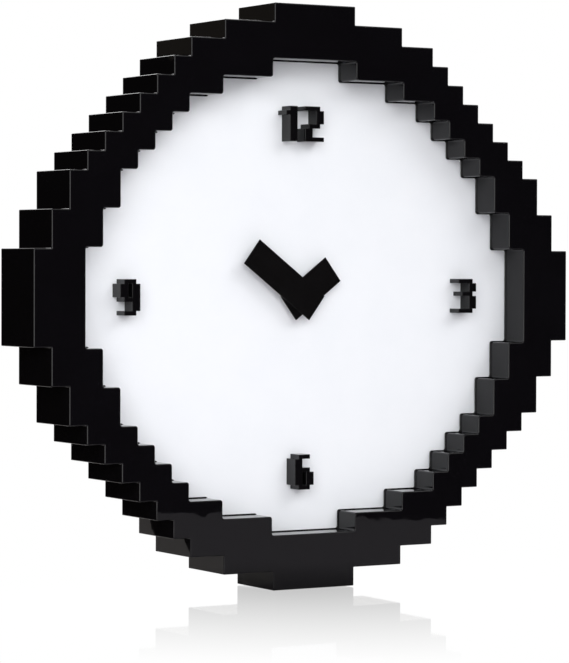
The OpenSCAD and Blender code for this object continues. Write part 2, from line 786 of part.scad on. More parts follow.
module coil_core()
  color("#9a9ca1")
    block(core_x - core_w / 2, core_x + core_w / 2, core_y, core_y + lamination_t, arm_low_z, arm_high_z);

module core_slot(low_z, high_z)
  block(core_x - core_w / 2 - seating, core_x + core_w / 2 + seating, core_y - seating,
    core_y + lamination_t + seating, low_z - past, high_z + past);

module coil_bobbin()
  color("#2f6f4a")
    difference() {
      union() {
        block(core_x - core_w / 2 - bobbin_wall, core_x + core_w / 2 + bobbin_wall, core_y - bobbin_wall,
          core_y + lamination_t + bobbin_wall, coil_low_z, coil_high_z);
        for (z = [coil_low_z, coil_high_z - flange_t])
          translate([core_x, coil_y, axis_z + z]) cylinder(r = winding_r + slack, h = flange_t);
      }
      core_slot(coil_low_z, coil_high_z);
    }

module coil_winding()
  color("#b5652f")
    difference() {
      translate([core_x, coil_y, axis_z + coil_low_z + flange_t])
        cylinder(r = winding_r, h = coil_high_z - coil_low_z - 2 * flange_t);
      block(core_x - core_w / 2 - bobbin_wall, core_x + core_w / 2 + bobbin_wall, core_y - bobbin_wall,
        core_y + lamination_t + bobbin_wall, coil_low_z, coil_high_z);
    }

// Board with its chip and crystal
module circuit_board()
  color("#2c6b3f")
    block(board_x0, board_x1, board_y, board_y + board_t, board_low_z, board_high_z);

module chip()
  color("#1b1b1d")
    translate([board_x0 + board_w / 2, board_y + board_t, axis_z + chip_z])
      rotate([-90, 0, 0])
        cylinder(r1 = chip_r, r2 = chip_r * 0.6, h = chip_h);

module quartz_crystal()
  color("#c6c9ce")
    translate([crystal_x, board_y + board_t + crystal_r + seating, axis_z + board_low_z + board_edge])
      cylinder(r = crystal_r, h = crystal_l);

// Cell and its contacts
module battery()
  color("#3a3d45")
    translate([cell_x0, cell_y, axis_z + cell_z])
      rotate([0, 90, 0])
        rotate_extrude()
          polygon([
            [0, 0], [cell_r - cell_crimp, 0], [cell_r, cell_crimp], [cell_r, cell_l - cell_crimp],
            [cell_r - cell_crimp, cell_l], [nub_r, cell_l], [nub_r, cell_l + nub_l], [0, cell_l + nub_l]
          ]);

module positive_contact()
  color("#c6c9ce")
    union() {
      block(bay_inner - contact_t, bay_inner, lead_y, cell_y + contact_h / 2,
        cell_z - contact_h / 2, bay_top_z);
      block(lead_x - tab_w / 2, bay_inner, lead_y, lead_y + strip_w, bay_top_z - contact_t, bay_top_z);
      block(lead_x - tab_w / 2, lead_x + tab_w / 2, lead_y, lead_y + contact_t,
        bay_top_z - contact_t, board_low_z + tab_h);
    }

module negative_contact()
  color("#c6c9ce") {
    block(-bay_inner, -bay_inner + contact_t, strip_y, cell_y + contact_h / 2,
      cell_z - contact_h / 2, bay_top_z);
    translate([-bay_inner + contact_t, cell_y, axis_z + cell_z])
      rotate([0, 90, 0])
        cylinder(r1 = spring_r, r2 = spring_r * 0.7, h = spring_l - seating);
    block(-bay_inner, tab_x + tab_w / 2, strip_y, strip_y + strip_w, bay_top_z - contact_t, bay_top_z);
    block(tab_x - tab_w / 2, tab_x + tab_w / 2, strip_y, strip_y + contact_t,
      bay_top_z - contact_t, board_low_z + tab_h);
  }

// Hanger: a steel plate with a keyhole for the wall screw
module hanger_plate()
  color("#b9bbbf")
    difference() {
      block(-hanger_w / 2, hanger_w / 2, hanger_y, hanger_y + hanger_t,
        hanger_z - hanger_h / 2, hanger_z + hanger_h / 2);
      translate([0, 0, -keyhole_rise / 4]) {
        rod([0, hanger_z], keyhole_r, hanger_y - past, hanger_y + hanger_t + past);
        rod([0, hanger_z + keyhole_rise - keyhole_slot_w / 2], keyhole_slot_w / 2,
          hanger_y - past, hanger_y + hanger_t + past);
        block(-keyhole_slot_w / 2, keyhole_slot_w / 2, hanger_y - past, hanger_y + hanger_t + past,
          hanger_z, hanger_z + keyhole_rise - keyhole_slot_w / 2);
      }
      for (s = [-1, 1])
        rod([s * hanger_boss_x, hanger_z], screw_r + hole_clear,
          hanger_y - past, hanger_y + hanger_t + past);
    }

module hanger_screws()
  color("#b9bbbf")
    for (s = [-1, 1]) screw([s * hanger_boss_x, hanger_z], hanger_y + hanger_t);

frame();
dial();
dial_screws();
numeral_12_one();
numeral_12_two();
numeral_3();
numeral_6();
numeral_9();
hour_hand();
hour_collet();
minute_hand();
minute_collet();
bush();
hex_nut();
front_washer();
rubber_gasket();
movement_case();
movement_cover();
minute_arbor();
hour_wheel();
motion_wheel();
setting_knob();
centre_wheel();
third_wheel();
seconds_wheel();
step_wheel();
rotor();
stator();
coil_core();
coil_bobbin();
coil_winding();
circuit_board();
chip();
quartz_crystal();
battery();
positive_contact();
negative_contact();
hanger_plate();
hanger_screws();
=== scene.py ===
import json
from math import radians

import bpy
import numpy as np
from mathutils import Matrix, Vector, geometry


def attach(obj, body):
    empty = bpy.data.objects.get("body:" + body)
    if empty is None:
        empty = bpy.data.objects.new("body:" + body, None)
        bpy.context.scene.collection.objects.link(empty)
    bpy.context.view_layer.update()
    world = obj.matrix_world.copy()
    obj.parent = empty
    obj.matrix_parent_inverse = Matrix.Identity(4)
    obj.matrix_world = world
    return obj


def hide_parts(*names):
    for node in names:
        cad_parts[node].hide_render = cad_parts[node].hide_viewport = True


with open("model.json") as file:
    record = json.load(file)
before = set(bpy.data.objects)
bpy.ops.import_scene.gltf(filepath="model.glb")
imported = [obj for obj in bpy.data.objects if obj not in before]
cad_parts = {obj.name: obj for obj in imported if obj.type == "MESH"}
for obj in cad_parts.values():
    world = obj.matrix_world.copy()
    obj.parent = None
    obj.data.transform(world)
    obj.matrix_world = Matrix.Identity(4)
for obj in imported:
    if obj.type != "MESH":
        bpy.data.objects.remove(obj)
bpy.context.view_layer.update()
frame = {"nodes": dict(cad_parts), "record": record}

scene = bpy.context.scene
nodes = frame["nodes"]
print("frame loaded:", len(nodes), "nodes")

# camera, solved from the step corners of the outline in the photograph
camera = {
    "place": (-0.79554, -1.32563, 0.17276),  # metres
    "yaw": -30.946, "pitch": -1.063, "roll": 0.151,  # degrees
    "lens": 156.39, "sensor": 36,  # mm, along the tall side
    "shift": (-0.01572, -0.02217),  # share of the tall side
    "farthest": 50,  # metres
}
camData = bpy.data.cameras.new("photoCamera")
camData.lens, camData.sensor_width = camera["lens"], camera["sensor"]
camData.shift_x, camData.shift_y = camera["shift"]
camData.clip_end = camera["farthest"]
camObject = bpy.data.objects.new("photoCamera", camData)
camObject.matrix_world = (
    Matrix.Translation(camera["place"])
    @ Matrix.Rotation(radians(camera["yaw"]), 4, "Z")
    @ Matrix.Rotation(radians(90 + camera["pitch"]), 4, "X")
    @ Matrix.Rotation(radians(camera["roll"]), 4, "Z")
)
scene.collection.objects.link(camObject)
scene.camera = camObject
print("camera set")


def linear(hexCode):  # sRGB hex to linear RGBA
    srgb = np.array([int(hexCode[i:i + 2], 16) for i in (1, 3, 5)]) / 255
    low, high = srgb / 12.92, ((srgb + 0.055) / 1.055) ** 2.4
    return (*np.where(srgb <= 0.04045, low, high), 1.0)


# One node, with its settings, and values or links on its inputs. A colour Mix node has its factor and its
# two colours at inputs 0, 6 and 7, and its result at output 2.
def add(tree, kind, wires=None, **settings):
    made = tree.nodes.new(kind)
    for key, value in settings.items():
        setattr(made, key, value)
    for key, value in (wires or {}).items():
        if isinstance(value, bpy.types.NodeSocket):
            tree.links.new(value, made.inputs[key])
        else:
            made.inputs[key].default_value = value
    return made


def perMm(size):  # texture scale, in cycles a metre, for a feature of this size in mm
    return 1000 / size


def newMaterial(name, look):  # Principled shader with the uniform values on its own sockets
    material = bpy.data.materials.new(name)
    material.use_nodes = True
    tree = material.node_tree
    shader = tree.nodes["Principled BSDF"]
    for key, value in look.items():
        shader.inputs[key].default_value = value
    return material, tree, shader


noiseSpan = {"From Min": 0.3, "From Max": 0.7}  # where most of a noise pattern's values lie


# Every finish is made the same way: two close colours in soft clouds, roughness that drifts with a finer
# cloud, and a bump of slow waves and fine grain, each as (size, height) in mm. Real grain is mostly finer
# than the render can show, so it is drawn coarser, at 0.2 mm and up.
def finish(name, dark, light, rough, wave, grain, cloud=30, smudge=8, **look):
    material, tree, shader = newMaterial(name, look)
    place = add(tree, "ShaderNodeTexCoord").outputs["Object"]
    clouds = add(tree, "ShaderNodeTexNoise", {"Vector": place, "Scale": perMm(cloud), "Detail": 3.0})
    tones = {0: clouds.outputs["Fac"], 6: linear(dark), 7: linear(light)}
    tint = add(tree, "ShaderNodeMix", tones, data_type="RGBA")
    tree.links.new(tint.outputs[2], shader.inputs["Base Color"])
    smudges = add(tree, "ShaderNodeTexNoise", {"Vector": place, "Scale": perMm(smudge), "Detail": 5.0})
    span = {"Value": smudges.outputs["Fac"], **noiseSpan, "To Min": rough[0], "To Max": rough[1]}
    drift = add(tree, "ShaderNodeMapRange", span)
    tree.links.new(drift.outputs[0], shader.inputs["Roughness"])
    normal = None
    for size, height in (wave, grain):
        bumps = add(tree, "ShaderNodeTexNoise", {"Vector": place, "Scale": perMm(size), "Detail": 1.5})
        wires = {"Height": bumps.outputs["Fac"], "Strength": 1.0, "Distance": height / 1000}
        if normal:
            wires["Normal"] = normal
        normal = add(tree, "ShaderNodeBump", wires).outputs["Normal"]
    tree.links.new(normal, shader.inputs["Normal"])
    return material


finishes = {
    # ABS from a polished mould: deep black and mirror-like, with the slow waves of a moulded face; its IOR
    # is below the usual 1.53, matched to the dark mirror images in the photograph
    "gloss_black_abs": finish(
        "polishedBlackAbs", "#080709", "#0c0b0e", (0.012, 0.035), (15, 0.05), (1.2, 0.0006), IOR=1.32),
    # white polystyrene sheet, spray finished: soft white with a faint tooth
    "white_dial": finish(
        "whiteDialSheet", "#eceff4", "#f2f4f8", (0.42, 0.52), (60, 0.03), (0.6, 0.006), IOR=1.5),
    # small ABS mouldings, IOR as on the ring: the same black with a slightly softer gloss
    "numeral_black": finish(
        "polishedNumeralAbs", "#09080a", "#0d0c0e", (0.06, 0.12), (9, 0.02), (0.8, 0.002), IOR=1.32),
    # aluminium strip with satin paint: black with a broad, soft sheen
    "hand_black": finish(
        "satinBlackPaint", "#0a090a", "#0d0c0d", (0.16, 0.22), (14, 0.01), (0.35, 0.004), IOR=1.5),
    # turned brass: warm yellow, half bright
    "brass": finish(
        "turnedBrass", "#b08d45", "#c9a85c", (0.22, 0.34), (3, 0.004), (0.3, 0.002), Metallic=1.0),
    # zinc-plated steel: cold pale grey with a cloudy shine
    "zinc_steel": finish(
        "zincPlatedSteel", "#a9adb3", "#c2c6cb", (0.24, 0.4), (4, 0.006), (0.5, 0.004), Metallic=1.0),
    # punched rubber sheet: dull black
    "black_rubber": finish(
        "blackRubber", "#151415", "#1d1c1d", (0.7, 0.85), (5, 0.02), (0.4, 0.02), IOR=1.5),
    # ABS from a spark-eroded mould: black with a fine matt texture
    "movement_black": finish(
        "sparkErodedAbs", "#141315", "#1b1a1c", (0.4, 0.52), (18, 0.03), (0.45, 0.03), IOR=1.5),
    # moulded natural acetal: milky white with a waxy sheen
    "natural_acetal": finish(
        "naturalAcetal", "#dcd7c8", "#e8e4d8", (0.32, 0.42), (4, 0.01), (0.4, 0.004), IOR=1.48),
    # moulded grey acetal: pale grey with a waxy sheen
    "grey_knob": finish(
        "greyAcetal", "#b9bbc0", "#c8cacf", (0.32, 0.44), (4, 0.01), (0.4, 0.006), IOR=1.48),
    # ground ferrite: dark grey, dull and half metallic
    "magnet": finish(
        "ferriteMagnet", "#3a3b3e", "#4a4b4e", (0.45, 0.6), (2, 0.01), (0.3, 0.01), Metallic=0.6),
    # rolled and punched silicon steel: mid grey, softly bright
    "silicon_steel": finish(
        "siliconSteel", "#7d8085", "#8f9297", (0.3, 0.42), (3, 0.005), (0.3, 0.004), Metallic=1.0),
    # moulded nylon: clear green, half matt
    "green_bobbin": finish(
        "greenNylon", "#27603f", "#2f6f4a", (0.35, 0.5), (3, 0.01), (0.4, 0.006), IOR=1.53),
    # wound copper wire under enamel: red-brown with a fine ripple
    "copper_wire": finish(
        "enamelledCopper", "#a4572a", "#c0703a", (0.25, 0.38), (0.9, 0.03), (0.2, 0.01), Metallic=1.0),
    # glass-fibre board under solder mask: green and glossy
    "board_green": finish(
        "solderMask", "#1f5a34", "#2a6d41", (0.25, 0.38), (4, 0.01), (0.4, 0.004), IOR=1.55),
    # epoxy poured over the chip: black and smooth
    "chip_black": finish(
        "epoxyDrop", "#101011", "#18181a", (0.2, 0.32), (3, 0.02), (0.4, 0.004), IOR=1.55),
    # shrunk plastic sleeve over the cell: slate blue with a smooth gloss
    "cell_jacket": finish(
        "shrinkSleeve", "#33445a", "#3b4d64", (0.24, 0.34), (12, 0.02), (0.5, 0.003), IOR=1.53),
}

# the cell's sleeve has a pale band at the positive end and leaves the can's steel bare at both ends
sleeve = {
    "band": "#b4b8bd", "bandFrom": 0.0125,  # metres along X
    "steel": "#b9bcc0", "middle": -0.0002, "bareFrom": 0.0242,  # the cell's middle, and metres from there
}
tree = finishes["cell_jacket"].node_tree
shader = tree.nodes["Principled BSDF"]
place = add(tree, "ShaderNodeTexCoord").outputs["Object"]
along = add(tree, "ShaderNodeSeparateXYZ", {0: place}).outputs["X"]
inBand = add(tree, "ShaderNodeMath", {0: along, 1: sleeve["bandFrom"]}, operation="GREATER_THAN")
plain = shader.inputs["Base Color"].links[0].from_socket
tones = {0: inBand.outputs[0], 6: plain, 7: linear(sleeve["band"])}
banded = add(tree, "ShaderNodeMix", tones, data_type="RGBA")
offset = add(tree, "ShaderNodeMath", {0: along, 1: sleeve["middle"]}, operation="SUBTRACT")
away = add(tree, "ShaderNodeMath", {0: offset.outputs[0]}, operation="ABSOLUTE").outputs[0]
bare = add(tree, "ShaderNodeMath", {0: away, 1: sleeve["bareFrom"]}, operation="GREATER_THAN")
tones = {0: bare.outputs[0], 6: banded.outputs[2], 7: linear(sleeve["steel"])}
ended = add(tree, "ShaderNodeMix", tones, data_type="RGBA")
tree.links.new(ended.outputs[2], shader.inputs["Base Color"])
tree.links.new(bare.outputs[0], shader.inputs["Metallic"])

slotOf = {part["node"]: part["material_slot"] for part in frame["record"]["subparts"]}
for name, piece in nodes.items():
    piece.data.materials.clear()
    piece.data.materials.append(finishes[slotOf[name]])
print("finishes given:", len(finishes))

# rounded edges on the hands and the nut: welded, then a small round on each sharp edge
edgeLook = {
    "radius": {"hour_hand": 0.22, "minute_hand": 0.22, "hex_nut": 0.2},  # mm
    "sharp": 40, "segments": 3,  # degrees that an edge turns at least, and faces across its round
    "weld": 0.002,  # mm between corners that count as one
}
for name, radius in edgeLook["radius"].items():
    weld = nodes[name].modifiers.new("weld", "WELD")
    weld.merge_threshold = edgeLook["weld"] / 1000
    bevel = nodes[name].modifiers.new("edgeRound", "BEVEL")
    bevel.width, bevel.segments = radius / 1000, edgeLook["segments"]
    bevel.limit_method, bevel.angle_limit = "ANGLE", radians(edgeLook["sharp"])
    bevel.harden_normals = True
print("edges rounded:", len(edgeLook["radius"]))

# shared by the ring and the digits, in mm: X and Z start at the hands' axis, and Y is the CAD's
clock = {
    "axis": (0, 0, 155), "pixel": 10,  # side of one square step of the ring
    "dialFront": -0.3, "dialBack": 1.3,
}
cornerPoints = 5  # points on a rounded corner
lead = 9  # mm from the first and last corner of a section, which only give direction, to the next ones


# Right-angled corners of a path turned into quarter circles: d1 and d2 point from a corner to its
# neighbours, the circle's centre is corner + r (d1 + d2), and a point at turn t is centre - r (d2 cos t +
# d1 sin t). The normals point to the left of the path.
def roundCorners(corners, radius):
    corners = np.asarray(corners, float)
    before, after = np.roll(corners, 1, 0) - corners, np.roll(corners, -1, 0) - corners
    before /= np.linalg.norm(before, axis=1, keepdims=True)
    after /= np.linalg.norm(after, axis=1, keepdims=True)
    radius = np.broadcast_to(radius, len(corners))[:, None, None]
    turn = np.linspace(0, np.pi / 2, cornerPoints)[None, :, None]
    spoke = after[:, None] * np.cos(turn) + before[:, None] * np.sin(turn)
    points = corners[:, None] + radius * ((before + after)[:, None] - spoke)
    side = np.sign(after[:, 0] * before[:, 1] - after[:, 1] * before[:, 0])[:, None, None]
    return points.reshape(-1, 2), (side * spoke).reshape(-1, 2)


# a cross-section of (reach, depth) corners with its solid side on the left; each corner has a round, apart
# from the first two and the last two
def section(corners, rounds):
    points, normals = roundCorners(corners, [0, 0, *rounds, 0, 0])
    kept = slice(2 * cornerPoints - 1, 1 - 2 * cornerPoints)
    return points[kept], -normals[kept]


# The stair outline of the ring: half widths of 2.5, 5.5, 7.5, 8.5 ... pixels against half heights that
# fall by one pixel a step and by two for the last two steps, mirrored into four quarters, clockwise.
def stair(steps):
    i = np.arange(steps + 3)
    wide = 5.5 + i - 3 * (i == 0) - (i == 1)
    tall = np.where(i <= steps, steps + 6.5 - i, 6.5 - 2 * (i - steps))
    quarter = clock["pixel"] * np.stack([np.repeat(wide, 2)[:-1], np.repeat(tall, 2)[1:]], 1)
    return np.concatenate([quarter, quarter[::-1] * (1, -1), -quarter, quarter[::-1] * (-1, 1)])


# a right-angled loop grown to its left: each corner moves by the left normals of its two sides
def grown(loop, grow):
    ahead = np.sign(np.roll(loop, -1, 0) - loop)
    left = ahead[:, ::-1] * (-1, 1)
    return loop + grow * (left + np.roll(left, 1, 0))


# how far a line stays inside the stair: the last of its points, set at a pace in mm, that lies in one of
# the stair's boxes
def stairReach(steps, grow, start, heading, nearest=60, farthest=200, pace=0.05):
    far = np.arange(nearest, farthest, pace)
    x, z = np.abs(start[:, None] + heading[:, None] * far)
    corner = grown(stair(steps), grow)[:2 * steps + 5:2]
    inside = ((x[:, None] <= corner[:, 0]) & (z[:, None] <= corner[:, 1])).any(1)
    return far[inside].max()


def gridFaces(rows, columns):  # quads of a grid that closes on itself along its columns
    place = np.arange(rows * columns).reshape(rows, columns)
    beside = np.roll(place, -1, 1)
    return np.stack([place[:-1], beside[:-1], beside[1:], place[1:]], -1).reshape(-1, 4).tolist()


# A cross-section carried along a right-angled loop: each of its points grows the loop and sets a depth, so
# a row of the grid is the grown loop with rounded corners, and its normal is the loop's normal tilted by
# the section's. A clockwise loop bounds a solid, and a hole's loop runs the other way.
def carried(loop, cross, radius):
    rows = [roundCorners(grown(loop, grow), radius) for grow in cross[0][:, 0]]
    flat, out = (np.stack(part) for part in zip(*rows))
    depth, ahead = (np.broadcast_to(part[:, 1, None], flat.shape[:2]) for part in cross)
    out = out * cross[1][:, 0, None, None]
    points = np.stack([flat[..., 0], depth, flat[..., 1]], -1)
    normals = np.stack([out[..., 0], ahead, out[..., 1]], -1)
    return points.reshape(-1, 3), normals.reshape(-1, 3), gridFaces(*flat.shape[:2])


# a cross-section turned about an axis along Y at (x, z): reach times sine and cosine of the turn, with
# both ends capped
def turned(cross, x, z, turns=32):
    angle = np.linspace(0, 2 * np.pi, turns, endpoint=False)
    spoke = np.stack([np.sin(angle), np.ones(turns), np.cos(angle)], -1)
    points, normals = (part[:, None, [0, 1, 0]] * spoke for part in cross)
    first, last = np.arange(turns)[::-1], np.arange(turns) + (len(cross[0]) - 1) * turns
    faces = gridFaces(len(cross[0]), turns) + [first.tolist(), last.tolist()]
    return (points + (x, 0, z)).reshape(-1, 3), normals.reshape(-1, 3), faces


# The flat between an outer and an inner loop, facing to the front (-1) or the back (1): triangles that keep
# both loops as edges, less those whose middle lies in the inner loop, where a line to the right crosses
# that loop an odd number of times.
def flatBetween(outer, inner, facing):
    rims = np.concatenate([outer, inner])
    order = np.arange(len(rims))
    ahead = np.concatenate([np.roll(order[:len(outer)], -1), np.roll(order[len(outer):], -1)])
    sides = np.stack([order, ahead], 1).tolist()
    flat = [Vector(place) for place in rims[:, ::2]]
    insideOnly, sameWithin = 1, 1e-6  # what to fill, and mm between points that count as one
    found = geometry.delaunay_2d_cdt(flat, sides, [], insideOnly, sameWithin)
    points, faces = rims[[source[0] for source in found[3]]], np.array(found[2])
    middle = points[faces][..., ::2].mean(1)[:, None]
    here, there = inner[:, ::2], np.roll(inner[:, ::2], -1, 0)
    spans = (here[:, 1] > middle[..., 1]) != (there[:, 1] > middle[..., 1])
    rise = np.where(there[:, 1] == here[:, 1], 1, there[:, 1] - here[:, 1])
    crossing = here[:, 0] + (middle[..., 1] - here[:, 1]) * (there[:, 0] - here[:, 0]) / rise
    faces = faces[(spans & (crossing > middle[..., 0])).sum(1) % 2 == 0][:, ::-facing]
    return points, np.broadcast_to((0.0, facing, 0.0), points.shape), faces.tolist()


# a block on a four-cornered base, given by its base corners and two depths, with flat faces of their own
def slab(base, depths):
    low, high = (np.insert(np.asarray(base, float), 1, depth, 1) for depth in depths)
    sides = [np.stack([low[k], low[k - 1], high[k - 1], high[k]]) for k in range(4)]
    quads = np.stack([low, high[::-1], *sides])
    normals = np.cross(quads[:, 1] - quads[:, 0], quads[:, 2] - quads[:, 0])
    normals /= np.linalg.norm(normals, axis=1, keepdims=True)
    faces = np.arange(4 * len(quads)).reshape(-1, 4)
    return quads.reshape(-1, 3), np.repeat(normals, 4, 0), faces.tolist()


# one piece from several such surfaces, with their normals kept
def pieceFrom(name, surfaces, material):
    places, normals, corners = zip(*surfaces)
    starts = np.cumsum([0] + [len(points) for points in places])
    faces = []
    for start, part in zip(starts.tolist(), corners):
        faces += [[start + corner for corner in face] for face in part]
    mesh = bpy.data.meshes.new(name)
    mesh.from_pydata((np.concatenate(places) + clock["axis"]) / 1000, [], faces)
    mesh.polygons.foreach_set("use_smooth", np.ones(len(faces), bool))
    mesh.normals_split_custom_set_from_vertices(np.concatenate(normals))
    mesh.materials.append(material)
    piece = bpy.data.objects.new(name, mesh)
    scene.collection.objects.link(piece)
    return piece


ringLook = {
    "outerSteps": 9, "innerSteps": 6, "ease": 0.8,  # single steps of the stairs, room round the opening
    "depth": 38.6, "face": 2.5, "wall": 2.5, "shadowGap": 1,  # gap between the inner wall and the dial
    "bead": 0.5, "beadThick": 0.9,  # at the inner wall's end
    "outerRound": 0.45, "innerRound": 1.3,  # corners of the outline
    "edge": 0.6, "rim": 0.4, "fillet": 0.6, "beadRound": 0.15,  # corners of the section
    "faceStrip": 1.5, "channelStrip": 4,  # flats of the section in front and on the channel's floor
    "ribs": 16, "ribThick": 1.6, "ribClear": 2,  # from the ribs to the dial
    "sunk": 0.5,  # how deep in the face the ribs and bosses start
    "bossRadius": 3.4, "bossRound": 0.2, "footRound": 0.1, "footCap": 1,
    "holeRadius": 1.3, "holeDeep": 8, "holeRound": 0.05, "holeCap": 0.5,
    "bosses": [  # sides and corners of the inner stair that they stand behind, in pixels
        (0, 12.5), (0, -12.5), (13.5, 0), (-13.5, 0), (8.5, 8.5), (8.5, -8.5), (-8.5, 8.5), (-8.5, -8.5),
    ],
    "hangerBosses": [(-16.1, 144), (16.1, 144)], "hangerEnd": 16.3,
}


# The ring: one section carried along its outer stair and one along its inner stair, joined by a flat in
# front and the channel's floor behind, then ribs that end half way into the walls, and bosses. A boss for
# the dial stands in the middle of the free part of a step.
def ringPiece(look):
    wall, ease, pixel, dialFront = look["wall"], look["ease"], clock["pixel"], clock["dialFront"]
    front, back = -look["depth"] / 2, look["depth"] / 2
    inside, end = front + look["face"], dialFront - look["shadowGap"]
    bead, beadFront = -look["bead"], end - look["beadThick"]
    strip, channel = look["faceStrip"], look["channelStrip"]
    outerWay = [
        (-strip, front + lead), (-strip, front), (0, front), (0, back),
        (-wall, back), (-wall, inside), (-channel, inside), (-channel, inside + lead),
    ]
    innerWay = [
        (channel, inside - lead), (channel, inside), (wall, inside), (wall, end), (bead, end),
        (bead, beadFront), (0, beadFront), (0, front), (strip, front), (strip, front + lead),
    ]
    innerWay = [(reach + ease, depth) for reach, depth in innerWay]
    outerRounds = [look[key] for key in ("edge", "rim", "rim", "fillet")]
    innerRounds = [look[key] for key in ("fillet", "rim", "beadRound", "beadRound", "beadRound", "edge")]
    outerStair, innerStair = stair(look["outerSteps"]), stair(look["innerSteps"])
    outer = carried(outerStair, section(outerWay, outerRounds), look["outerRound"])
    inner = carried(innerStair, section(innerWay, innerRounds), look["innerRound"])
    outerLoop, innerLoop = cornerPoints * len(outerStair), cornerPoints * len(innerStair)
    surfaces = [outer, inner]
    surfaces.append(flatBetween(outer[0][:outerLoop], inner[0][-innerLoop:], -1))
    surfaces.append(flatBetween(outer[0][-outerLoop:], inner[0][:innerLoop], 1))
    foot = inside - look["sunk"]
    for angle in np.arange(look["ribs"]) * 2 * np.pi / look["ribs"]:
        heading = np.array([np.cos(angle), np.sin(angle)])
        across = np.array([-np.sin(angle), np.cos(angle)])
        base = []
        for shift in (-look["ribThick"] / 2, look["ribThick"] / 2):
            near = stairReach(look["innerSteps"], ease + wall / 2, across * shift, heading)
            far = stairReach(look["outerSteps"], -wall / 2, across * shift, heading)
            ends = [across * shift + heading * near, across * shift + heading * far]
            base += ends if shift < 0 else ends[::-1]
        surfaces.append(slab(base, (foot, dialFront - look["ribClear"])))
    steps = np.array(look["bosses"])
    bosses = pixel * steps + np.sign(steps) * (pixel + ease + wall) / 2
    outside, hole = look["bossRadius"], look["holeRadius"]
    footCap, holeCap = look["footCap"], look["holeCap"]
    bossRounds = [look[key] for key in ("footRound", "bossRound", "bossRound", "holeRound")]
    for places, top in ((bosses, dialFront), (look["hangerBosses"], look["hangerEnd"])):
        floor = top - look["holeDeep"]
        bossWay = [
            (footCap, foot + lead), (footCap, foot), (outside, foot), (outside, top),
            (hole, top), (hole, floor), (holeCap, floor), (holeCap, floor - lead),
        ]
        surfaces += [turned(section(bossWay, bossRounds), x, z) for x, z in places]
    return pieceFrom("ringMoulding", surfaces, finishes["gloss_black_abs"])


ringMoulding = ringPiece(ringLook)
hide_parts("frame")
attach(ringMoulding, "clock_body")
print("ring built:", len(ringMoulding.data.polygons), "faces")

numeralLook = {
    "pixel": 2.35, "thick": 8.8, "corner": 0.2,
    "edge": 0.25, "seatRound": 0.05,  # rounds in front and at the dial
    "strip": 0.6,  # flats of the section in front and at the dial
    "pegRadius": 0.9, "pegSunk": 1, "pegCap": 0.5, "pegRound": 0.05,  # the pegs start inside the digit
    "headRadius": 1.6, "headThick": 0.7, "headRound": 0.3,
}
sixOutline = [
    (1, 0), (4, 0), (4, 1), (2, 1), (2, 3), (4, 3), (4, 4), (5, 4),
    (5, 7), (4, 7), (4, 8), (1, 8), (1, 7), (0, 7), (0, 1), (1, 1),
]
sixBowl = [(2, 4), (2, 7), (3, 7), (3, 4)]
# each digit: its middle in mm, then corners and pegs in pixels from its top left; the 9 is a turned 6
digits = {
    "numeral_12_one": {
        "middle": (-8.225, 92.2), "pegs": [(2, 1.5), (2, 6.5)],
        "outline": [(1, 0), (3, 0), (3, 8), (1, 8), (1, 2), (0, 2), (0, 1), (1, 1)],
    },
    "numeral_12_two": {
        "middle": (5.875, 92.2), "pegs": [(4, 2), (1, 6)],
        "outline": [
            (0, 0), (4, 0), (4, 1), (5, 1), (5, 4), (4, 4), (4, 5), (2, 5), (2, 7),
            (5, 7), (5, 8), (0, 8), (0, 5), (1, 5), (1, 4), (3, 4), (3, 1), (0, 1),
        ],
    },
    "numeral_3": {
        "middle": (105.025, 0), "pegs": [(4, 2), (4, 5.5)],
        "outline": [
            (0, 0), (4, 0), (4, 1), (5, 1), (5, 3), (4, 3), (4, 4), (5, 4), (5, 7), (4, 7),
            (4, 8), (0, 8), (0, 7), (3, 7), (3, 4), (1, 4), (1, 3), (3, 3), (3, 1), (0, 1),
        ],
    },
    "numeral_6": {
        "middle": (0, -93.8), "pegs": [(1, 2), (1, 5.5)],
        "outline": sixOutline, "bowl": sixBowl,
    },
    "numeral_9": {
        "middle": (-105.025, 0), "pegs": [(4, 2.5), (4, 6)],
        "outline": [(5 - x, 8 - y) for x, y in sixOutline],
        "bowl": [(5 - x, 8 - y) for x, y in sixBowl],
    },
}


# a digit: its outline and its bowl carry the same side wall, flats close front and back, and pegs run
# through the dial
def numeralPiece(name, digit, look):
    def onDial(corners):  # pixels from the top left to mm from the axis
        half = np.asarray(digit["outline"]).max(0) / 2
        return (np.asarray(corners, float) - half) * (1, -1) * look["pixel"] + digit["middle"]

    strip, back, behind = look["strip"], clock["dialFront"], clock["dialBack"]
    front, start, end = back - look["thick"], back - look["pegSunk"], behind + look["headThick"]
    sideWay = [
        (-strip, front + lead), (-strip, front), (0, front),
        (0, back), (-strip, back), (-strip, back - lead),
    ]
    side = section(sideWay, [look["edge"], look["seatRound"]])
    loops = [digit[part] for part in ("outline", "bowl") if part in digit]
    surfaces = [carried(onDial(loop), side, look["corner"]) for loop in loops]
    rims = [cornerPoints * len(loop) for loop in loops]
    fronts = [wall[0][:rim] for wall, rim in zip(surfaces, rims)]
    backs = [wall[0][-rim:] for wall, rim in zip(surfaces, rims)]
    noBowl = [] if "bowl" in digit else [np.empty((0, 3))]
    surfaces += [flatBetween(*fronts, *noBowl, -1), flatBetween(*backs, *noBowl, 1)]
    peg, head, cap = look["pegRadius"], look["headRadius"], look["pegCap"]
    pegWay = [
        (cap, start + lead), (cap, start), (peg, start), (peg, behind),
        (head, behind), (head, end), (cap, end), (cap, end - lead),
    ]
    pegRounds = [look[key] for key in ("pegRound", "pegRound", "pegRound", "headRound")]
    surfaces += [turned(section(pegWay, pegRounds), x, z) for x, z in onDial(digit["pegs"])]
    return pieceFrom(name + "Moulding", surfaces, finishes["numeral_black"])


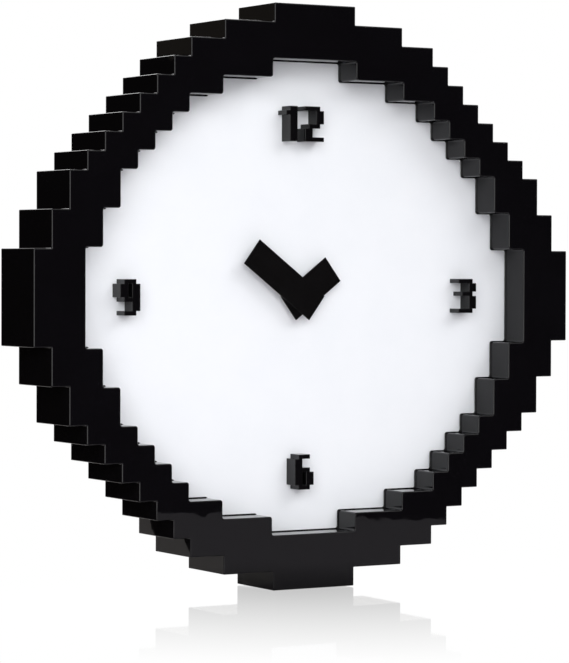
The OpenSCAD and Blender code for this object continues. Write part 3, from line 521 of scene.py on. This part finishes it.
for name, digit in digits.items():
    piece = numeralPiece(name, digit, numeralLook)
    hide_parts(name)
    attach(piece, "clock_body")
print("numerals built:", len(digits))


# a flat card from its corners in order, as one face
def card(name, corners):
    mesh = bpy.data.meshes.new(name)
    mesh.from_pydata(corners, [], [range(len(corners))])
    piece = bpy.data.objects.new(name, mesh)
    scene.collection.objects.link(piece)
    return piece


# a black card that glows, for mirror images only
def glowCard(name, corners, tone, strength=1.0):
    piece = card(name, corners)
    look = {"Base Color": linear("#000000"), "Emission Color": linear(tone), "Emission Strength": strength}
    glow, tree, shader = newMaterial(name + "Glow", look)
    piece.data.materials.append(glow)
    piece.visible_camera = piece.visible_diffuse = False
    return tree, shader


# The board as the clock's faces mirror it, unseen by the camera. Its slanted edges give the faces their two
# tones, and it is dimmer close to the foot, in the clock's own shade.
boardLook = {
    "tone": "#dedcda", "rough": 0.4, "height": -0.001,  # metres
    "shade": 0.15, "shadeFrom": 0.06, "shadeTo": 0.16,  # share of the glow at the foot, metres from there
    "boards": {  # colour and strength of the glow, and corners in metres
        "frontBoard": ("#faf4ff", 0.46, [
            (-0.42, -0.55), (0.072, -0.55), (0.5, -0.148), (0.5, 0.03), (-0.42, 0.03),
        ]),
        "rearBoard": ("#fff6f2", 0.26, [(-0.11, 0.03), (0.5, 0.03), (0.5, 0.55), (-0.37, 0.55)]),
    },
}
for name, (tone, glow, corners) in boardLook["boards"].items():
    board = card(name, [(x, y, boardLook["height"]) for x, y in corners])
    look = {"Base Color": linear(boardLook["tone"]), "Roughness": boardLook["rough"]}
    acrylic, tree, shader = newMaterial(name + "Acrylic", {**look, "Emission Color": linear(tone)})
    place = add(tree, "ShaderNodeTexCoord").outputs["Object"]
    fromFoot = add(tree, "ShaderNodeVectorMath", {0: place}, operation="LENGTH").outputs["Value"]
    span = {"From Min": boardLook["shadeFrom"], "From Max": boardLook["shadeTo"]}
    glows = {"To Min": glow * boardLook["shade"], "To Max": glow}
    shade = add(tree, "ShaderNodeMapRange", {"Value": fromFoot, **span, **glows})
    tree.links.new(shade.outputs[0], shader.inputs["Emission Strength"])
    board.data.materials.append(acrylic)
    board.visible_camera = False

# The floor as the camera sees it: white acrylic whose mirror image fades away from the foot, and behind the
# clock, where it would show the lamps.
floorLook = {
    "tone": "#ffffff", "half": 4, "rear": 1.3, "height": -0.0005,  # metres
    "shine": 0.45, "rough": 0.03,  # mirror share at the foot, and its roughness
    "fadeFrom": 0.016, "fadeTo": 0.306, "bend": 1.2,  # metres from the foot, and the power of the fading
    "rearFrom": -0.01, "rearTo": 0.09,  # metres along Y
}
half, rear, white = floorLook["half"], floorLook["rear"], linear(floorLook["tone"])
corners = [(-half, -half), (half, -half), (half, rear), (-half, rear)]
ground = card("paleGround", [(x, y, floorLook["height"]) for x, y in corners])
floorFinish, tree = newMaterial("whiteAcrylicFloor", {})[:2]
place = add(tree, "ShaderNodeTexCoord").outputs["Object"]
fromFoot = add(tree, "ShaderNodeVectorMath", {0: place}, operation="LENGTH").outputs["Value"]
span = {"From Min": floorLook["fadeFrom"], "From Max": floorLook["fadeTo"], "To Min": 1.0, "To Max": 0.0}
near = add(tree, "ShaderNodeMapRange", {"Value": fromFoot, **span}).outputs[0]
bent = add(tree, "ShaderNodeMath", {0: near, 1: floorLook["bend"]}, operation="POWER").outputs[0]
toBack = add(tree, "ShaderNodeSeparateXYZ", {0: place}).outputs["Y"]
span = {"From Min": floorLook["rearFrom"], "From Max": floorLook["rearTo"]}
wires = {"Value": toBack, **span, "To Min": floorLook["shine"], "To Max": 0.0}
inFront = add(tree, "ShaderNodeMapRange", wires, interpolation_type="SMOOTHSTEP").outputs[0]
share = add(tree, "ShaderNodeMath", {0: bent, 1: inFront}, operation="MULTIPLY").outputs[0]
lit = add(tree, "ShaderNodeEmission", {"Color": white}).outputs[0]
mirror = add(tree, "ShaderNodeBsdfGlossy", {"Color": white, "Roughness": floorLook["rough"]}).outputs[0]
both = add(tree, "ShaderNodeMixShader", {0: share, 1: lit, 2: mirror}).outputs[0]
tree.links.new(both, tree.nodes["Material Output"].inputs["Surface"])
ground.data.materials.append(floorFinish)
ground.visible_glossy = ground.visible_diffuse = False

# a white card far behind, which only the floor mirrors, and a dim brown one at the left behind, mirrored by
# the highest left walls: colour and strength of the glow, and corners in metres
glowCards = {
    "backCard": ("#ffffff", 1.0, [(-1.2, 3.4, -0.2), (4.4, 1.5, -0.2), (4.4, 1.5, 2.2), (-1.2, 3.4, 2.2)]),
    "brownCard": ("#ffe9c8", 0.075, [
        (-1.2, 1.1, 0.39), (-0.4, 1.6, 0.39), (-0.4, 1.6, 0.99), (-1.2, 1.1, 0.99),
    ]),
}
for name, (tone, strength, corners) in glowCards.items():
    glowCard(name, corners, tone, strength)

# strips of light at both sides, brightest at their front end, mirrored by the rounded edges and side walls
stripLook = {
    "tone": "#ffffff", "strips": {"leftStrip": (-1, 4.5), "rightStrip": (1, 1.125)},  # side and glow
    "front": (1.5, -0.9), "rear": (1.8, 0.6), "low": -0.4, "high": 0.7,  # metres
    "fadeTo": 0.5,  # metres along Y
}
(frontX, frontY), (rearX, rearY) = stripLook["front"], stripLook["rear"]
low, high = stripLook["low"], stripLook["high"]
for name, (side, glow) in stripLook["strips"].items():
    frontEnd, rearEnd = (side * frontX, frontY), (side * rearX, rearY)
    corners = [(*frontEnd, low), (*rearEnd, low), (*rearEnd, high), (*frontEnd, high)]
    tree, shader = glowCard(name, corners, stripLook["tone"])
    place = add(tree, "ShaderNodeTexCoord").outputs["Object"]
    along = add(tree, "ShaderNodeSeparateXYZ", {0: place}).outputs["Y"]
    span = {"From Min": frontY, "From Max": stripLook["fadeTo"], "To Min": glow, "To Max": 0.0}
    fade = add(tree, "ShaderNodeMapRange", {"Value": along, **span}).outputs[0]
    tree.links.new(fade, shader.inputs["Emission Strength"])

# softboxes, each turned to the middle of the dial: place and size in metres, and watts
lamps = {
    "keyBox": ((-0.77, -1.27, 0.53), (1.4, 1.3), 22.4),
    "fillBox": ((0.72, -1.12, 1.15), (1.4, 0.9), 12.2),
    "topBox": ((0.2, 0.1, 1.7), (1.4, 1.4), 7),
    "rearBox": ((0.3, 1.5, 1.4), (1.6, 0.8), 22),
}
for name, (spot, size, power) in lamps.items():
    lamp = bpy.data.lights.new(name, "AREA")
    lamp.shape, lamp.size, lamp.size_y, lamp.energy = "RECTANGLE", *size, power
    holder = bpy.data.objects.new(name, lamp)
    aim = Vector(clock["axis"]) / 1000 - Vector(spot)
    holder.matrix_world = Matrix.Translation(spot) @ aim.to_track_quat("-Z", "Y").to_matrix().to_4x4()
    scene.collection.objects.link(holder)

# a dim warm room for the mirror images, and white behind the clock for the camera
room = {"tone": "#2a2522", "strength": 0.5, "backdrop": "#ffffff"}
world = bpy.data.worlds.new("studio")
scene.world = world
world.use_nodes = True
tree = world.node_tree
seen = add(tree, "ShaderNodeLightPath").outputs["Is Camera Ray"]
dim = add(tree, "ShaderNodeBackground", {"Color": linear(room["tone"]), "Strength": room["strength"]})
bright = add(tree, "ShaderNodeBackground", {"Color": linear(room["backdrop"]), "Strength": 1.0})
mixed = add(tree, "ShaderNodeMixShader", {0: seen, 1: dim.outputs[0], 2: bright.outputs[0]})
tree.links.new(mixed.outputs[0], tree.nodes["World Output"].inputs["Surface"])
scene.view_settings.view_transform = "Standard"
print("studio lit")
